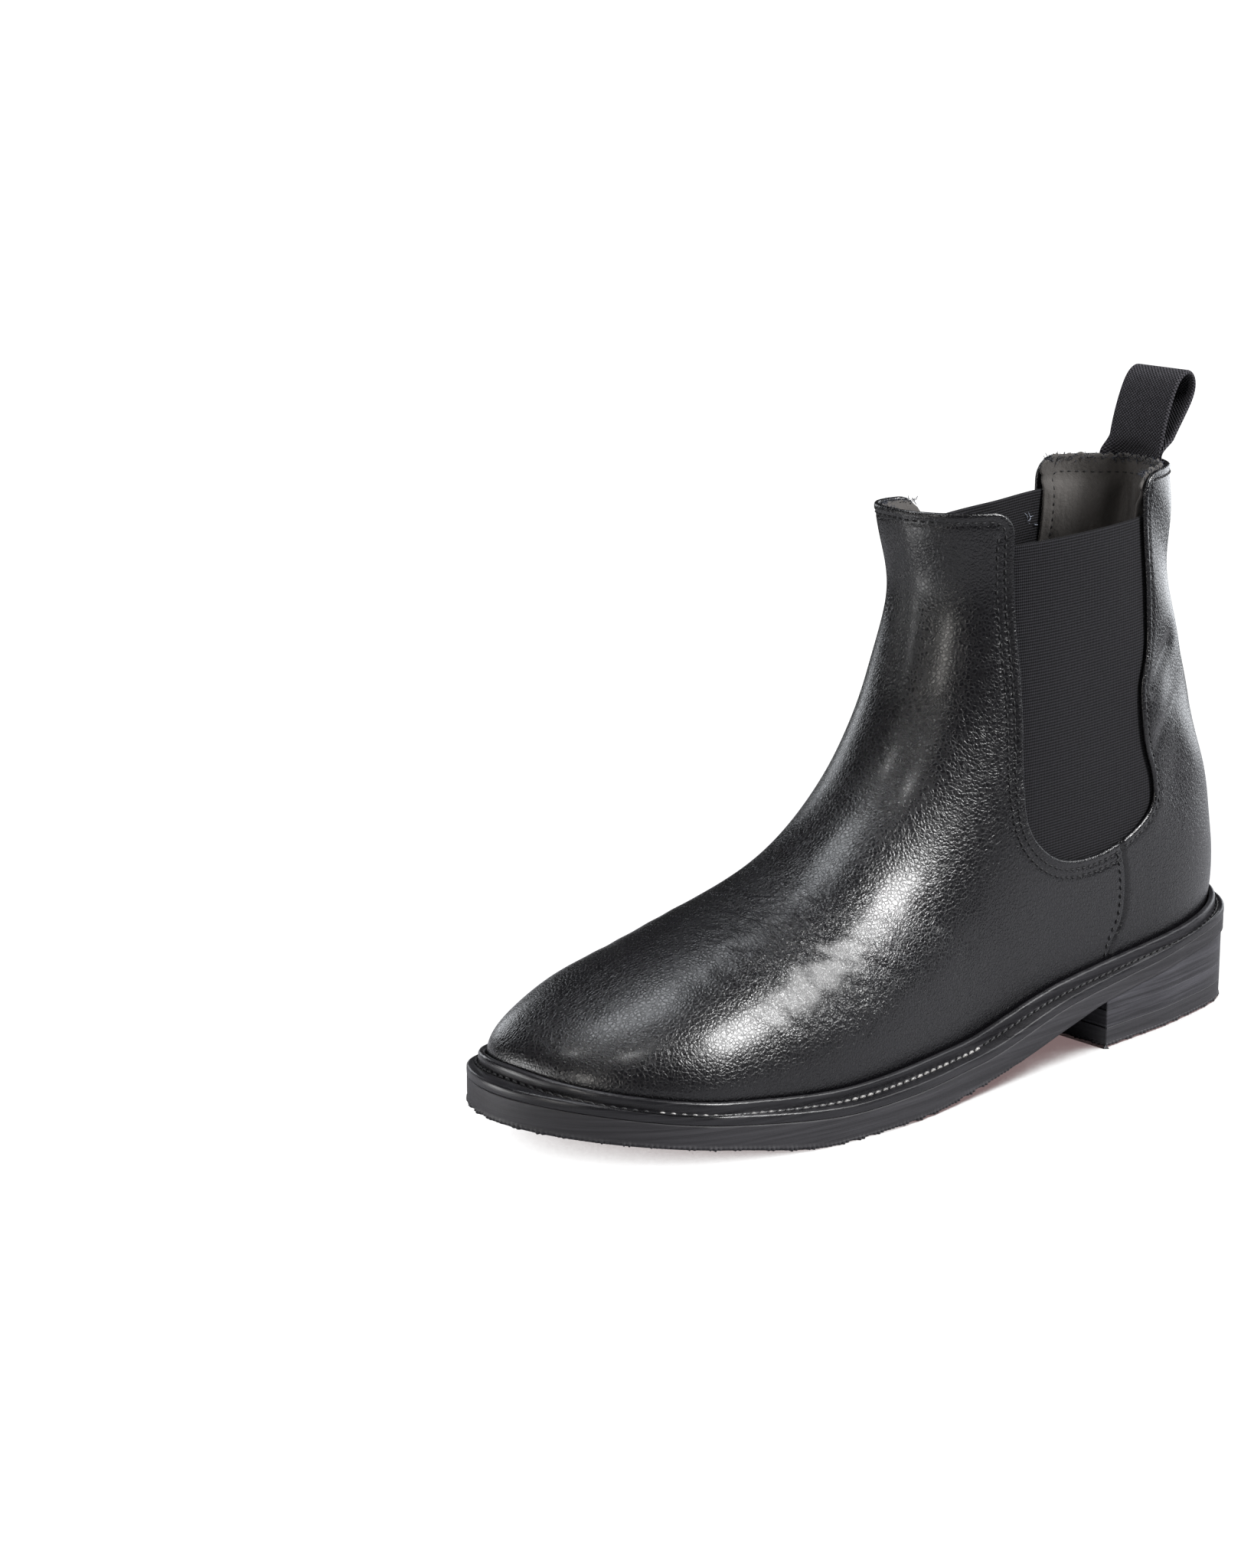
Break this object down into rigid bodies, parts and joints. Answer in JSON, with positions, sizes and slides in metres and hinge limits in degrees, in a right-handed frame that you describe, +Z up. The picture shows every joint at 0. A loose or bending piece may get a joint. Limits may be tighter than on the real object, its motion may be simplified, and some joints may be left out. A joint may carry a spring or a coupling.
{
  "type": "chelsea boot",
  "caption": "Ankle boot with elastic side panels, a rear webbing pull tab, a storm-welted sole and a stacked heel; the shaft opens forward and the tab folds.",
  "frame": {"origin": "on the floor, at the middle of the bottom of the bounding box", "axes": "+Z up, -Y towards the toe, +Y towards the heel, +X towards the outer (lateral) side of this left boot"},
  "size_m": [0.1, 0.3, 0.2095],
  "materials": {
    "black_leather": "smooth black calf leather with a fine grain, semi-gloss",
    "lining": "grey-brown lining leather, matt",
    "elastic": "charcoal black ribbed elastic webbing, matt",
    "webbing": "black twill webbing tape, matt",
    "thread": "waxed black thread",
    "welt_thread": "waxed grey thread",
    "rubber_sole": "black rubber, matt",
    "welt": "black edge-dyed leather, semi-matt",
    "heel_stack": "black stacked leather board, semi-matt",
    "cork": "cork filler, dull",
    "insole": "undyed insole leather",
    "stiffener": "leather fibre board",
    "steel": "plain steel"
  },
  "bodies": {
    "root": {"outsole": "rubber_sole", "heel_lift_upper": "heel_stack", "heel_lift_lower": "heel_stack", "heel_top_lift": "rubber_sole", "heel_nail_1": "steel", "heel_nail_2": "steel", "heel_nail_3": "steel", "heel_nail_4": "steel", "heel_nail_5": "steel", "storm_welt": "welt", "cork_filler": "cork", "shank": "steel", "insole_board": "insole", "sock_liner": "lining", "vamp": "black_leather", "quarter_lateral": "black_leather", "quarter_medial": "black_leather", "backstay": "black_leather", "gore_lateral": "elastic", "gore_medial": "elastic", "toe_puff": "stiffener", "heel_counter": "stiffener", "pull_tab_ends": "webbing", "vamp_lining": "lining", "quarter_lining": "lining"},
    "shaft_front": {"shaft_front": "black_leather", "shaft_front_lining": "lining"},
    "pull_tab": {"pull_tab": "webbing"}
  },
  "joints": [
    {"name": "collar_opening", "type": "hinge", "parent": "root", "child": "shaft_front", "pos_m": [0, 0.028, 0.0775], "axis": [1, 0, 0], "range_deg": [0, 6.5], "stiffness_Nm_per_rad": 12, "deforming": ["gore_lateral", "gore_medial"]},
    {"name": "pull_tab_fold", "type": "hinge", "parent": "root", "child": "pull_tab", "pos_m": [0, 0.1143, 0.1845], "axis": [1, 0, 0], "range_deg": [-45, 70], "stiffness_Nm_per_rad": 0.02}
  ]
}
